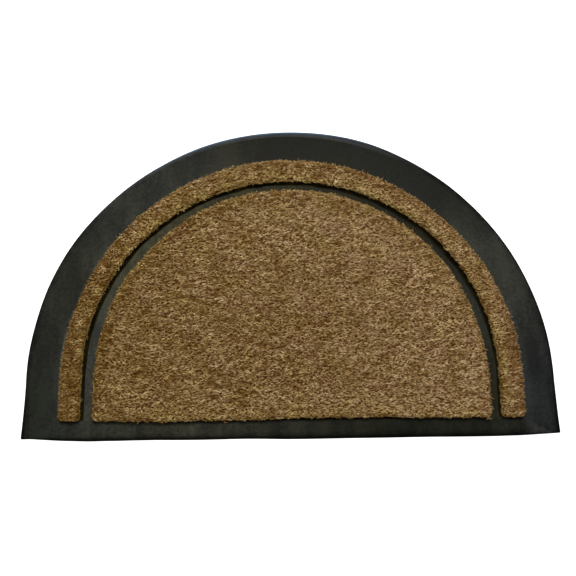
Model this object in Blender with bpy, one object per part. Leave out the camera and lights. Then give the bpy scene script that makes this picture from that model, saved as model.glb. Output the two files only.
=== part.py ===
"""Half-round doormat: two fields of coir pile seated in a moulded rubber tray.

Metres, +Z up. The origin is at the middle of the underside's bounding box. +X runs along the
straight front edge, and +Y runs from that edge towards the top of the arc.
"""

from collections import namedtuple
from math import inf, pi, radians

import bmesh
import bpy
import numpy as np
from mathutils import Vector, noise
from mathutils.geometry import delaunay_2d_cdt

# Plan of the mat: a half circle on a short straight-sided strip.
RADIUS = 0.4572
STRAIGHT = 0.1016
DEPTH = RADIUS + STRAIGHT
FRONT_Y = -DEPTH / 2
ARC_Y = FRONT_Y + STRAIGHT

# Widths seen from above, from the outer edge inwards.
RIM_WIDTH = 0.0590
FRONT_RIM_WIDTH = 0.0295
BAND_WIDTH = 0.0385
CHANNEL_WIDTH = 0.0185

# Heights of the rubber above the floor.
EDGE_HEIGHT = 0.0016
LIP_HEIGHT = 0.0043
PLATEAU_HEIGHT = 0.0060
POCKET_FLOOR = 0.0025

# The lip is a narrow bevel along the outer edge. The plateau is the flat top that the coir is set in,
# and it reaches a little past the coir on all sides.
LIP_WIDTH = 0.0050
PLATEAU_MARGIN = 0.0030
TRAY_CORNER = 0.0025
TRAY_ARC_COUNT = 96

# The coir pile: its top above the floor, how far its tips lean out past its foot, and its seat in the rubber.
PILE_TOP = 0.0200
PILE_LEAN = 0.0020
COIR_CORNER = 0.0060
SEAT_GAP = 0.0003

# Tufts: the pitch of the lumps on top, and the pitch and reach of the locks round the rim.
TUFT_PITCH = 0.0120
TUFT_JITTER = 0.22
LUMP_HEIGHT = 0.0016
LUMP_SIZE = 0.0230
LOCK_PITCH = 0.0078
LOCK_REACH = 0.0014
TUFT_SEED = 7

CORNER_COUNT = 3
SMOOTH_ANGLE = radians(12)
RUBBER_COLOUR = (0.022, 0.023, 0.021, 1.0)
COIR_COLOUR = (0.235, 0.135, 0.055, 1.0)

# The foot of each coir field, as radii from the arc's centre and one front line.
BAND_OUTER = RADIUS - RIM_WIDTH - PILE_LEAN
BAND_INNER = RADIUS - RIM_WIDTH - BAND_WIDTH + PILE_LEAN
FIELD_RADIUS = RADIUS - RIM_WIDTH - BAND_WIDTH - CHANNEL_WIDTH - PILE_LEAN
COIR_FRONT_Y = FRONT_Y + FRONT_RIM_WIDTH + PILE_LEAN

# The tray from its underside up: how far each ring lies inside the outline at the sides and at the front.
TrayRing = namedtuple("TrayRing", "side_inset front_inset height")
TRAY_RINGS = (
    TrayRing(0.0, 0.0, 0.0),
    TrayRing(0.0, 0.0, EDGE_HEIGHT),
    TrayRing(LIP_WIDTH, LIP_WIDTH, LIP_HEIGHT),
    TrayRing(RIM_WIDTH - PLATEAU_MARGIN, FRONT_RIM_WIDTH - PLATEAU_MARGIN, PLATEAU_HEIGHT),
)

# A pile's side from its foot up: each ring's height, its spread past the foot, and its share of the locks.
PileRing = namedtuple("PileRing", "height spread locks")
PILE_RINGS = (
    PileRing(POCKET_FLOOR + SEAT_GAP, 0.0, 0.0),
    PileRing(PLATEAU_HEIGHT + 2 * SEAT_GAP, 0.0, 0.0),
    PileRing(0.0125, 0.8 * PILE_LEAN, 0.7),
    PileRing(0.0170, PILE_LEAN, 1.0),
    PileRing(0.0190, 0.0, 0.8),
)


def line(start, end, step):
    """Points on a straight line, about a step apart, from the start up to but not at the end."""
    start, end = np.array(start), np.array(end)
    count = max(1, round(np.linalg.norm(end - start) / step))
    return start + (end - start) * (np.arange(count) / count)[:, None]


def arc(centre, radius, start, end, count):
    """Points on a circular arc at even angles, from the start angle up to but not at the end angle."""
    angles = start + (end - start) * np.arange(count) / count
    return np.column_stack([centre[0] + radius * np.cos(angles), centre[1] + radius * np.sin(angles)])


def half_round(radius, front, corner, arc_count, step=inf):
    """The outline of a half circle on a straight strip, anticlockwise from the front left."""
    side = radius - corner
    foot = front + corner
    return np.concatenate([
        line((-side, front), (side, front), step),
        arc((side, foot), corner, -pi / 2, 0.0, CORNER_COUNT),
        line((radius, foot), (radius, ARC_Y), step),
        arc((0.0, ARC_Y), radius, 0.0, pi, arc_count),
        line((-radius, ARC_Y), (-radius, foot), step),
        arc((-side, foot), corner, pi, 1.5 * pi, CORNER_COUNT),
    ])


def arch(outer, inner, front, corner, arc_count, step=inf):
    """The outline of an arch on two straight legs, anticlockwise from its right foot."""
    outer_side, inner_side = outer - corner, inner + corner
    foot = front + corner
    return np.concatenate([
        line((inner_side, front), (outer_side, front), step),
        arc((outer_side, foot), corner, -pi / 2, 0.0, CORNER_COUNT),
        line((outer, foot), (outer, ARC_Y), step),
        arc((0.0, ARC_Y), outer, 0.0, pi, arc_count),
        line((-outer, ARC_Y), (-outer, foot), step),
        arc((-outer_side, foot), corner, pi, 1.5 * pi, CORNER_COUNT),
        line((-outer_side, front), (-inner_side, front), step),
        arc((-inner_side, foot), corner, -pi / 2, 0.0, CORNER_COUNT),
        line((-inner, foot), (-inner, ARC_Y), step),
        arc((0.0, ARC_Y), inner, pi, 0.0, arc_count),
        line((inner, ARC_Y), (inner, foot), step),
        arc((inner_side, foot), corner, pi, 1.5 * pi, CORNER_COUNT),
    ])


def outward(outline):
    """Unit vectors that point out of an anticlockwise outline, one for each point."""
    along = np.roll(outline, -1, axis=0) - np.roll(outline, 1, axis=0)
    along /= np.linalg.norm(along, axis=1, keepdims=True)
    return np.column_stack([along[:, 1], -along[:, 0]])


def at_height(outline, height):
    return np.column_stack([outline, np.full(len(outline), height)])


def principled(name, colour, roughness):
    """A material with one Principled BSDF."""
    material = bpy.data.materials.new(name)
    material.use_nodes = True
    material.diffuse_color = colour
    shader = material.node_tree.nodes["Principled BSDF"]
    shader.inputs["Base Color"].default_value = colour
    shader.inputs["Roughness"].default_value = roughness
    shader.inputs["Metallic"].default_value = 0.0
    return material


def object_from(name, points, faces):
    """A mesh object with its faces turned outwards."""
    mesh = bpy.data.meshes.new(name)
    mesh.from_pydata(points.tolist(), [], [[int(corner) for corner in face] for face in faces])
    work = bmesh.new()
    work.from_mesh(mesh)
    bmesh.ops.recalc_face_normals(work, faces=work.faces)
    work.to_mesh(mesh)
    work.free()
    obj = bpy.data.objects.new(name, mesh)
    bpy.context.scene.collection.objects.link(obj)
    return obj


def shade(obj, material):
    """The finish of a whole object, smooth except where its faces meet at an edge."""
    obj.data.materials.clear()
    obj.data.materials.append(material)
    obj.data.shade_smooth()
    obj.data.set_sharp_from_angle(angle=SMOOTH_ANGLE)


def side_faces(ring_count, size):
    """The quads that join each ring of points to the ring above it."""
    here = np.arange(size)
    after = (here + 1) % size
    quads = np.column_stack([here, after, after + size, here + size])
    return np.concatenate([quads + ring * size for ring in range(ring_count - 1)])


def lofted(name, rings):
    """A closed solid through rings of equally many points, flat at both ends."""
    size = len(rings[0])
    lid = np.arange(size) + (len(rings) - 1) * size
    faces = [*side_faces(len(rings), size), np.arange(size)[::-1], lid]
    return object_from(name, np.concatenate(rings), faces)


def cut(obj, name, outline, floor, top):
    """Cuts an upright pocket into an object, and leaves no cutter behind."""
    cutter = lofted(name, [at_height(outline, floor), at_height(outline, top)])
    boolean = obj.modifiers.new(name, "BOOLEAN")
    boolean.operation = "DIFFERENCE"
    boolean.object = cutter
    graph = bpy.context.evaluated_depsgraph_get()
    obj.data = bpy.data.meshes.new_from_object(obj.evaluated_get(graph))
    obj.modifiers.clear()
    bpy.data.objects.remove(cutter)


def make_tray():
    """The moulded rubber base: upright edge, bevelled lip, sloping rim and plateau, with two pockets.

    The rim slopes over a wide strip at the sides and a narrow one at the front, so the two slopes
    meet in a mitre at each front corner.
    """
    rings = [
        at_height(
            half_round(RADIUS - ring.side_inset, FRONT_Y + ring.front_inset, TRAY_CORNER, TRAY_ARC_COUNT),
            ring.height,
        )
        for ring in TRAY_RINGS
    ]
    tray = lofted("rubber_tray", rings)
    corner = COIR_CORNER + SEAT_GAP
    front = COIR_FRONT_Y - SEAT_GAP
    band = arch(BAND_OUTER + SEAT_GAP, BAND_INNER - SEAT_GAP, front, corner, TRAY_ARC_COUNT)
    field = half_round(FIELD_RADIUS + SEAT_GAP, front, corner, TRAY_ARC_COUNT)
    cut(tray, "band_pocket", band, POCKET_FLOOR, 2 * PLATEAU_HEIGHT)
    cut(tray, "field_pocket", field, POCKET_FLOOR, 2 * PLATEAU_HEIGHT)
    shade(tray, principled("Moulded rubber", RUBBER_COLOUR, 0.6))


def tuft_points(outer, inner, random):
    """Staggered rows of tufts inside a foot outline, each moved a little off its place.

    A point's distance from the arc's axis is measured to the centre above the strip and straight
    across in it, so one number tells how deep the point lies inside the outer and the inner edge.
    """
    across = np.arange(-outer, outer, TUFT_PITCH)
    rows = np.arange(COIR_FRONT_Y, ARC_Y + outer, TUFT_PITCH * np.sqrt(0.75))
    x, y = np.meshgrid(across, rows)
    x = x + (np.arange(len(rows)) % 2)[:, None] * TUFT_PITCH / 2
    x, y = (value.ravel() + random.uniform(-1, 1, value.size) * TUFT_JITTER * TUFT_PITCH for value in (x, y))
    reach = np.hypot(x, np.maximum(y - ARC_Y, 0.0))
    depth = np.minimum(np.minimum(outer - reach, reach - inner), y - COIR_FRONT_Y)
    inside = depth > 0.6 * TUFT_PITCH
    return np.column_stack([x[inside], y[inside]])


def pile_height(point):
    """The height of the trimmed pile at a place, lower by up to the lump height between its lumps."""
    lump = 0.5 + noise.noise(Vector((point[0], point[1], 0.0)) / LUMP_SIZE)
    return PILE_TOP - LUMP_HEIGHT * (1.0 - min(max(lump, 0.0), 1.0))


def triangles_in(outline, inner_points=()):
    """Delaunay triangles inside an outline, as numbers of its points followed by the inner ones."""
    points = [Vector(point) for point in (*outline, *inner_points)]
    edges = [(i, (i + 1) % len(outline)) for i in range(len(outline))]
    only_inside = 1
    found, _, faces, sources, _, _ = delaunay_2d_cdt(points, edges, [], only_inside, 1e-7)
    return [[sources[corner][0] for corner in face] for face in faces]


def make_pile(name, foot, outer, inner, material):
    """A slab of coir pile: an upright foot, sides that lean out in locks, and a lumpy trimmed top."""
    random = np.random.default_rng(TUFT_SEED)
    size = len(foot)
    normals = outward(foot)
    locks = LOCK_REACH * random.uniform(0.2, 1.0, size) * np.where(np.arange(size) % 2, 1.0, -0.4)
    rings = [
        at_height(foot + normals * (ring.spread + ring.locks * locks)[:, None], ring.height)
        for ring in PILE_RINGS
    ]
    tufts = tuft_points(outer, inner, random)
    heights = [pile_height(point) for point in tufts]
    points = np.concatenate([*rings, np.column_stack([tufts, heights])])
    top = np.array(triangles_in(rings[-1][:, :2], tufts)) + (len(rings) - 1) * size
    faces = [*side_faces(len(rings), size), *top, *triangles_in(foot)]
    shade(object_from(name, points, faces), material)


def make_coir():
    """The arch of pile inside the rim, and the half-round field inside the arch."""
    coir = principled("Coir pile", COIR_COLOUR, 0.95)
    band_count, field_count = (round(pi * radius / LOCK_PITCH) for radius in (BAND_OUTER, FIELD_RADIUS))
    band = arch(BAND_OUTER, BAND_INNER, COIR_FRONT_Y, COIR_CORNER, band_count, LOCK_PITCH)
    field = half_round(FIELD_RADIUS, COIR_FRONT_Y, COIR_CORNER, field_count, LOCK_PITCH)
    make_pile("coir_band", band, BAND_OUTER, BAND_INNER, coir)
    make_pile("coir_field", field, FIELD_RADIUS, -inf, coir)


for old in list(bpy.data.objects):
    bpy.data.objects.remove(old)
make_tray()
make_coir()
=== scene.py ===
# %% [markdown]
# # A half-round coir doormat
#
# The real mat is made in two stages. A black rubber tray is moulded in a press, with a sloping rim
# and shallow pockets, and coarse coconut fibre is bonded upright into the pockets and trimmed level.
# This lesson dresses the solids of that mat: it keeps their sizes and gives them the rubber's soft
# edges and some 150,000 separate fibres.

import math
from functools import partial

import bpy
import numpy as np
from mathutils import Matrix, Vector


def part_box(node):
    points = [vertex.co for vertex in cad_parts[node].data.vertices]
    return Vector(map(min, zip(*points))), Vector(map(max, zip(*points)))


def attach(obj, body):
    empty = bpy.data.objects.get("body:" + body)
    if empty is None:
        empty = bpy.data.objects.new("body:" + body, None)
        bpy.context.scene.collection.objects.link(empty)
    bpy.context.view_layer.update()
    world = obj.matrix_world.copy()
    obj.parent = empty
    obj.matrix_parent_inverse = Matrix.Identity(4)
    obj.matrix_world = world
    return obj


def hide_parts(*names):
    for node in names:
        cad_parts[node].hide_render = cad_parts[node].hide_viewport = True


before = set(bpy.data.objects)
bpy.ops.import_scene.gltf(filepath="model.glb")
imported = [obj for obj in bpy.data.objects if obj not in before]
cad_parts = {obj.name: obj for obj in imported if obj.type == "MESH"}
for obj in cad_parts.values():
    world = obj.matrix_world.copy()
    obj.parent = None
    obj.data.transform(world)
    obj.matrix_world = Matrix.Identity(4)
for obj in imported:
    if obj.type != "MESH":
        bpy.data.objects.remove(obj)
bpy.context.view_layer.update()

# %% [markdown]
# ## Sizes
#
# The mat is a half circle standing on a short straight strip. Everything follows from the solids'
# boxes and a few widths in metres: the rim with its rounded lip, the band of pile, the channel of
# bare rubber between the two fields of pile, and how far the tips of the pile lean out past its foot.

# %% Sizes of the mat
MM = 0.001
tray_low, tray_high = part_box("rubber_tray")
RADIUS = tray_high.x
FRONT_Y = tray_low.y
ARC_Y = tray_high.y - RADIUS
PLATEAU = tray_high.z
PILE_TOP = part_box("coir_field")[1].z
PILE_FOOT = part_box("coir_field")[0].z
RIM, FRONT_RIM = 59.0 * MM, 29.5 * MM
BAND, CHANNEL = 38.5 * MM, 18.5 * MM
BRIM, LIP = 5.0 * MM, 10.5 * MM
LEAN = 2.0 * MM
SEAT_GAP = 0.3 * MM
COIR_CORNER = 6.0 * MM
COIR_FRONT = FRONT_Y + FRONT_RIM + LEAN
BAND_OUTER = RADIUS - RIM - LEAN
BAND_INNER = RADIUS - RIM - BAND + LEAN
FIELD_RADIUS = RADIUS - RIM - BAND - CHANNEL - LEAN
print(f"radius {RADIUS:.4f}, straight {ARC_Y - FRONT_Y:.4f}, pile top {PILE_TOP:.4f}")

# %% [markdown]
# ## Small tools
#
# A mesh is made from arrays in one go, which is hundreds of times faster than adding vertices one by
# one. A colour is written as the sRGB hex value that an eyedropper would show, and turned to the
# linear numbers that shaders count in. One function adds a shader node with its settings and links,
# and a node can be given as the input of the next one.

# %% Meshes, colours and nodes
def mesh_object(name, points, faces, material):
    """An object at the origin from an array of points and arrays of faces with equally many corners."""
    mesh = bpy.data.meshes.new(name)
    corners = np.concatenate([np.ravel(group) for group in faces]).astype(np.int32)
    sizes = np.concatenate([np.full(len(group), group.shape[1]) for group in faces])
    mesh.vertices.add(len(points))
    mesh.vertices.foreach_set("co", np.ravel(points).astype(np.float32))
    mesh.loops.add(len(corners))
    mesh.loops.foreach_set("vertex_index", corners)
    mesh.polygons.add(len(sizes))
    mesh.polygons.foreach_set("loop_start", np.concatenate([[0], np.cumsum(sizes)[:-1]]).astype(np.int32))
    mesh.polygons.foreach_set("use_smooth", np.ones(len(sizes), bool))
    mesh.update(calc_edges=True)
    mesh.materials.append(material)
    obj = bpy.data.objects.new(name, mesh)
    bpy.context.scene.collection.objects.link(obj)
    return obj


def paint(code):
    """An sRGB hex colour as linear red, green, blue and alpha."""
    srgb = np.array([int(code[i:i + 2], 16) for i in (1, 3, 5)]) / 255
    linear = np.where(srgb <= 0.04045, srgb / 12.92, ((srgb + 0.055) / 1.055) ** 2.4)
    return (*linear, 1.0)


def add_node(tree, kind, settings=None, *values, stops=(), **inputs):
    """A shader node of a kind, with its settings, its inputs and a colour ramp's stops.

    Settings go by name, and text alone is the node's operation. Values go into the first inputs, and
    the rest go by name, or by number after an underscore. Each is a number or a colour, or else it is
    linked from a socket, or from the first output in use of a node. Stops are (place, hex colour).
    """
    node = tree.nodes.new("ShaderNode" + kind)
    if isinstance(settings, str):
        settings = {"operation": settings}
    for key, value in (settings or {}).items():
        setattr(node, key, value)
    for place, _ in stops[1:-1]:
        node.color_ramp.elements.new(place)
    for number, (place, code) in enumerate(stops):
        node.color_ramp.elements[number].position = place
        node.color_ramp.elements[number].color = paint(code)
    named = {int(key[1:]) if key[0] == "_" else key.replace("_", " "): inputs[key] for key in inputs}
    for key, value in {**dict(enumerate(values)), **named}.items():
        if isinstance(value, bpy.types.Node):
            value = next(output for output in value.outputs if output.enabled)
        if isinstance(value, bpy.types.NodeSocket):
            tree.links.new(value, node.inputs[key])
        else:
            node.inputs[key].default_value = value
    return node


def new_material(name):
    """An empty node material, and the function that adds nodes to it."""
    material = bpy.data.materials.new(name)
    material.use_nodes = True
    material.node_tree.nodes.clear()
    return material, partial(add_node, material.node_tree)


BLEND = {"data_type": "RGBA"}
TINT = {"data_type": "RGBA", "blend_type": "MULTIPLY"}
print("black rubber in linear numbers:", np.round(paint("#2a2a27"), 4))

# %% [markdown]
# ## Outlines
#
# Both the tray and the pile are bounded by straight lines and arcs, so an outline is a list of such
# stretches, each worked out as one array. The half round has one foot line and one arc. The arch is
# the strip between two arcs, with a leg at each side.

# %% Outlines from lines and arcs
def line(start, end, count):
    """Points at even steps from the start up to but not at the end."""
    start, end = np.array(start, float), np.array(end, float)
    return start + (end - start) * (np.arange(count) / count)[:, None]


def arc(centre, radius, start, end, count):
    """Points at even angles on a circle, from the start angle up to but not at the end angle."""
    angle = start + (end - start) * np.arange(count) / count
    return np.stack([centre[0] + radius * np.cos(angle), centre[1] + radius * np.sin(angle)], 1)


def half_round(radius, front, corner, counts):
    """A half circle on a straight strip, anticlockwise from the left end of its front.

    The counts are of points along the front, a rounded corner, a side of the strip and the arc.
    """
    front_count, corner_count, side_count, arc_count = counts
    side, foot = radius - corner, front + corner
    return np.concatenate([
        line((-side, front), (side, front), front_count),
        arc((side, foot), corner, -math.pi / 2, 0, corner_count),
        line((radius, foot), (radius, ARC_Y), side_count),
        arc((0, ARC_Y), radius, 0, math.pi, arc_count),
        line((-radius, ARC_Y), (-radius, foot), side_count),
        arc((-side, foot), corner, math.pi, 1.5 * math.pi, corner_count),
    ])


def arch(outer, inner, front, corner, counts):
    """The strip between two arcs on straight legs, anticlockwise from the inner end of the right foot.

    The counts are of points along a foot, a rounded corner, a leg and an arc.
    """
    foot_count, corner_count, leg_count, arc_count = counts
    out, back, foot = outer - corner, inner + corner, front + corner
    return np.concatenate([
        line((back, front), (out, front), foot_count),
        arc((out, foot), corner, -math.pi / 2, 0, corner_count),
        line((outer, foot), (outer, ARC_Y), leg_count),
        arc((0, ARC_Y), outer, 0, math.pi, arc_count),
        line((-outer, ARC_Y), (-outer, foot), leg_count),
        arc((-out, foot), corner, math.pi, 1.5 * math.pi, corner_count),
        line((-out, front), (-back, front), foot_count),
        arc((-back, foot), corner, -math.pi / 2, 0, corner_count),
        line((-inner, foot), (-inner, ARC_Y), leg_count),
        arc((0, ARC_Y), inner, math.pi, 0, arc_count),
        line((inner, ARC_Y), (inner, foot), leg_count),
        arc((back, foot), corner, math.pi, 1.5 * math.pi, corner_count),
    ])


def unit(vectors):
    """Each row of an array divided by its own length."""
    return vectors / np.linalg.norm(vectors, axis=1, keepdims=True)


def outward(outline):
    """Unit vectors that point out of an anticlockwise outline at each point.

    Each is the step between the point's two neighbours, turned a quarter to the right.
    """
    step = unit(np.roll(outline, -1, axis=0) - np.roll(outline, 1, axis=0))
    return np.stack([step[:, 1], -step[:, 0]], 1)


def smooth_noise(x, y, size, seed, waves=20):
    """A smooth random value at each place, mostly between -1 and 1.

    It is a sum of sine waves about one size long, which run in random directions from random starts.
    """
    random = np.random.default_rng(seed)
    total = np.zeros(np.shape(x))
    for angle, start, stretch in random.uniform((0, 0, 0.7), (2 * np.pi, 2 * np.pi, 1.5), (waves, 3)):
        total += np.sin((x * np.cos(angle) + y * np.sin(angle)) * 2 * np.pi / (size * stretch) + start)
    return total * math.sqrt(2 / waves) / 1.6


# %% [markdown]
# ## How the edges of the pile wander
#
# Neither pile nor rubber is cut to a drawing. Each row of the first table gives an angle round the
# mat, 0 along the right leg, 90 at the top and 180 along the left leg, and how many millimetres the
# tips there lean out past their own foot: of the field, and of the inner and outer side of the band.
# Then come the width of the bare gap along the band's inner foot, which shows as a black line, how far
# the rubber's outer edge bulges, how much the band's tone differs from the field's, and how much it
# changes from the band's middle to its outer side. The second table does the same along the front,
# from left to right: how far the rubber's edge is drawn in, and how far the tips lean out.

# %% Tables of edges
EDGE_NAMES = ("angle", "field", "inner", "outer", "gap", "rubber", "tone", "cross")
EDGES = np.array([
    (0, 1.9, 2.0, 3.0, 3.6, 1.0, -0.04, -0.13),
    (15, -1.2, 0.0, 2.0, 5.0, 0.8, -0.01, -0.15),
    (45, 0.5, 0.5, -1.7, 7.0, 0.2, 0.03, -0.16),
    (70, -0.3, 3.0, -0.8, 7.4, 2.4, -0.04, -0.3),
    (110, -0.5, 4.0, -1.0, 6.9, 0.0, -0.04, -0.08),
    (120, -1.8, 3.1, -1.6, 6.6, -1.5, -0.02, -0.1),
    (135, -3.8, 1.8, -2.4, 6.2, -1.1, -0.06, -0.15),
    (150, -1.8, 1.4, -4.5, 5.8, 0.0, -0.2, -0.18),
    (165, -3.7, -0.4, -4.5, 5.8, -0.6, -0.21, -0.03),
    (180, -2.8, 1.8, -2.4, 6.4, -0.9, -0.25, 0.0),
])
FRONT_NAMES = ("place", "rubber", "pile")
FRONT = np.array([
    (-457, 3.6, -1.9),
    (-440, 4.0, -1.9),
    (-397, 1.1, -1.9),
    (-345, -1.4, -1.6),
    (-294, -1.4, 0.0),
    (-230, -0.2, 1.4),
    (-80, -0.4, 0.2),
    (-10, -1.4, -1.8),
    (60, -0.8, -2.8),
    (155, -1.2, -2.6),
    (240, 0.0, -0.8),
    (345, 0.0, -0.4),
    (395, 0.8, -1.0),
    (428, 2.7, -1.0),
    (457, 4.4, 0.0),
])


def reach_of(x, y):
    """The distance from the arc's centre, or straight across from the middle line in the strip below it."""
    return np.hypot(x, np.maximum(y - ARC_Y, 0))


def edge_value(name, x, y):
    """A column of the table, read at the angle of each place round the arc's centre."""
    angle = np.degrees(np.arctan2(np.maximum(y - ARC_Y, 0), x))
    return np.interp(angle, EDGES[:, 0], EDGES[:, EDGE_NAMES.index(name)])


def edge_shift(name, x, y):
    """A column of the table that holds millimetres, in metres."""
    return edge_value(name, x, y) * MM


def front_shift(name, x):
    """A column of the front's table in metres, read at each place from left to right."""
    return np.interp(x / MM, FRONT[:, 0], FRONT[:, FRONT_NAMES.index(name)]) * MM


def push_out(outline, shift):
    """An anticlockwise outline with each point moved outward by its own shift."""
    return outline + outward(outline) * np.reshape(shift, (-1, 1))


def lean_round(outline):
    """How far the tips lean out past each point of the pile's outline.

    It is the lean of the field's side or of the band's inner or outer side, whichever the point is
    on, and goes over to the front's as the outline turns to face the front.
    """
    x, y = outline.T
    limits = [(FIELD_RADIUS + BAND_INNER) / 2, (BAND_INNER + BAND_OUTER) / 2]
    sides = [edge_shift(name, x, y) for name in ("field", "inner", "outer")]
    side = np.choose(np.digitize(reach_of(x, y), limits), sides)
    facing = np.where(y < COIR_FRONT + COIR_CORNER, np.clip(-outward(outline)[:, 1], 0, 1) ** 2, 0)
    return (1 - facing) * side + facing * front_shift("pile", x)


print("edges lean out by", EDGES[:, 1:4].min(), "to", EDGES[:, 1:4].max(), "mm")

# %% [markdown]
# ## The rubber's finish
#
# The tray is black SBR rubber, compression moulded. A mould that has been sand-blasted leaves it matt
# with a very fine grain, old mould-release and dust leave pale smears that are only just visible, and
# the surface is never quite even, so the light slides over it in faint waves. The eye reads that as
# rubber rather than plastic. The grain of the real mould is about 0.2 mm, too fine to show in a render
# of the whole mat, so it is drawn at 1.6 mm.

# %% Stops of dust, painted sheen and painted shade
# Each stop is a place from 0 to 1 and a colour that the bare rubber is multiplied by. Round the arc,
# from the right leg to the left one, the rim has dust and a painted sheen, and up its slope it has dust.
# The front has a painted sheen that changes from left to right. The channel has a painted sheen and
# painted shade that change from the right leg's foot to the left leg's.
RIM_DUST_AND_SHEEN = [(0.0, "#c8d4cc"), (0.08, "#f5fadc"), (0.2, "#fafada"), (0.28, "#a6a684"), (0.53, "#a8a47c"),
            (0.61, "#e8e6c2"), (0.7, "#faffdc"), (0.86, "#dcdcba"), (1.0, "#c0c8ac")]
SLOPE_DUST = [(0.2, "#dcdcdc"), (0.6, "#e7e7e7"), (0.8, "#f5f5f5"), (0.92, "#ffffff")]
FRONT_SHEEN = [(0.04, "#b4c2ac"), (0.12, "#d8dec0"), (0.19, "#dadeb8"), (0.27, "#f4f2c8"), (0.35, "#e2e2b8"),
              (0.5, "#bcbc9a"), (0.65, "#8c8c68"), (0.86, "#8c8c6c"), (0.93, "#a8ac90"), (0.97, "#ffffff")]
CHANNEL_SHEEN_AND_SHADE = [(0.04, "#a0a05c"), (0.1, "#908a50"), (0.17, "#bcc298"), (0.26, "#828056"),
                (0.36, "#6c6838"), (0.46, "#908c48"), (0.63, "#dcd28a"), (0.79, "#e8e4b8"),
                (0.86, "#ffffe4"), (1.0, "#aeb28c")]
print("stops:", [len(stops) for stops in (RIM_DUST_AND_SHEEN, SLOPE_DUST, FRONT_SHEEN, CHANNEL_SHEEN_AND_SHADE)])

# %% Nodes that find a place on the mat
def place_nodes(add, x, y):
    """Nodes for a place on the mat: its insets from the arc and from the front in metres, and its turn.

    The turn is the angle round the arc's centre as a share of the half circle: 0 along the right leg,
    0.5 at the top and 1 along the left leg.
    """
    above = add("Math", "MAXIMUM", add("Math", "SUBTRACT", y, ARC_Y), 0.0)
    square = add("Math", "MULTIPLY", x, x)
    square = add("Math", "MULTIPLY_ADD", above, above, square)
    from_arc = add("Math", "SUBTRACT", RADIUS, add("Math", "SQRT", square))
    turn = add("Math", "DIVIDE", add("Math", "ARCTAN2", above, x), math.pi)
    return from_arc, add("Math", "SUBTRACT", y, FRONT_Y), turn


print("at the mitre the inset from the arc is", round(RIM / FRONT_RIM, 2), "times that from the front")

# %% The colours of dust, painted sheen and painted shade
# Painted shade: the rubber's outer edge is darkened over these insets, and over wider ones along the front.
SHADED_EDGE = (1.5 * MM, 4.5 * MM)
SHINE_TURN = 0.555


def slope_colour(add, x, side_share, front_share, turn):
    """The rim's colour, and the front rim's past the mitre, where the front's inset is the smaller share.

    The rim has two paler stretches of dust and painted sheen and is palest at the pile, with dust. The
    front is palest at the left, where a sheen is painted.
    """
    up_slope = add("ValToRGB", stops=SLOPE_DUST, Fac=side_share)
    # Painted sheen, with some dust: the rim's paleness changes round the arc.
    round_arc = add("ValToRGB", stops=RIM_DUST_AND_SHEEN, Fac=turn)
    dust_and_painted_light = add("Mix", TINT, _0=1.0, _6=up_slope, _7=round_arc)
    rim = add("Mix", TINT, _0=1.0, _6=paint("#2e2e2e"), _7=dust_and_painted_light)
    # Painted sheen: the front's paleness changes from left to right.
    across = add("Math", "MULTIPLY_ADD", x, 0.5 / RADIUS, 0.5)
    dust_and_painted_light = add("ValToRGB", stops=FRONT_SHEEN, Fac=across)
    front = add("Mix", TINT, _0=1.0, _6=paint("#323232"), _7=dust_and_painted_light)
    past_mitre = add("Math", "SUBTRACT", side_share, front_share)
    on_front = add("MapRange", Value=past_mitre, _1=-0.03, _2=0.03)
    return add("Mix", BLEND, _0=on_front, _6=rim, _7=front)


def channel_colour(add, x, y, turn):
    """The channel's colour: pale with a painted sheen at the left, darker and browner with painted shade at
    the right.

    The way along it is the arc's turn put between 0.1 and 0.9, and the metres down each leg.
    """
    below = add("Math", "MAXIMUM", add("Math", "SUBTRACT", ARC_Y, y), 0.0)
    leg = add("Math", "MULTIPLY", below, add("Math", "SIGN", x))
    round_arc = add("Math", "MULTIPLY_ADD", turn, 0.8, 0.1)
    way = add("Math", "SUBTRACT", round_arc, leg)
    dust_and_painted_light = add("ValToRGB", stops=CHANNEL_SHEEN_AND_SHADE, Fac=way)
    return add("Mix", TINT, _0=1.0, _6=paint("#3c3c3c"), _7=dust_and_painted_light)


def lip_nodes(add, from_arc, from_front, turn):
    """Nodes for how far a place is off the outer edge that is painted dark as shade, how much it is lip,
    and how much it shines.
    """
    near_front = add("Math", "MULTIPLY", from_front, 0.7)
    at_edge = add("Math", "MINIMUM", from_arc, near_front)
    off_shaded_edge = add("MapRange", Value=at_edge, _1=SHADED_EDGE[0], _2=SHADED_EDGE[1])
    inset = add("Math", "MINIMUM", from_arc, from_front)
    on_lip = add("MapRange", Value=inset, _1=LIP, _2=LIP - 3 * MM)
    rounding = add("MapRange", Value=inset, _1=LIP, _2=SHADED_EDGE[0])
    off_shine = add("Math", "ABSOLUTE", add("Math", "SUBTRACT", turn, SHINE_TURN))
    near_shine = add("MapRange", Value=off_shine, _1=0.25, _2=0.07)
    return off_shaded_edge, on_lip, add("Math", "MULTIPLY", rounding, near_shine)


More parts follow.
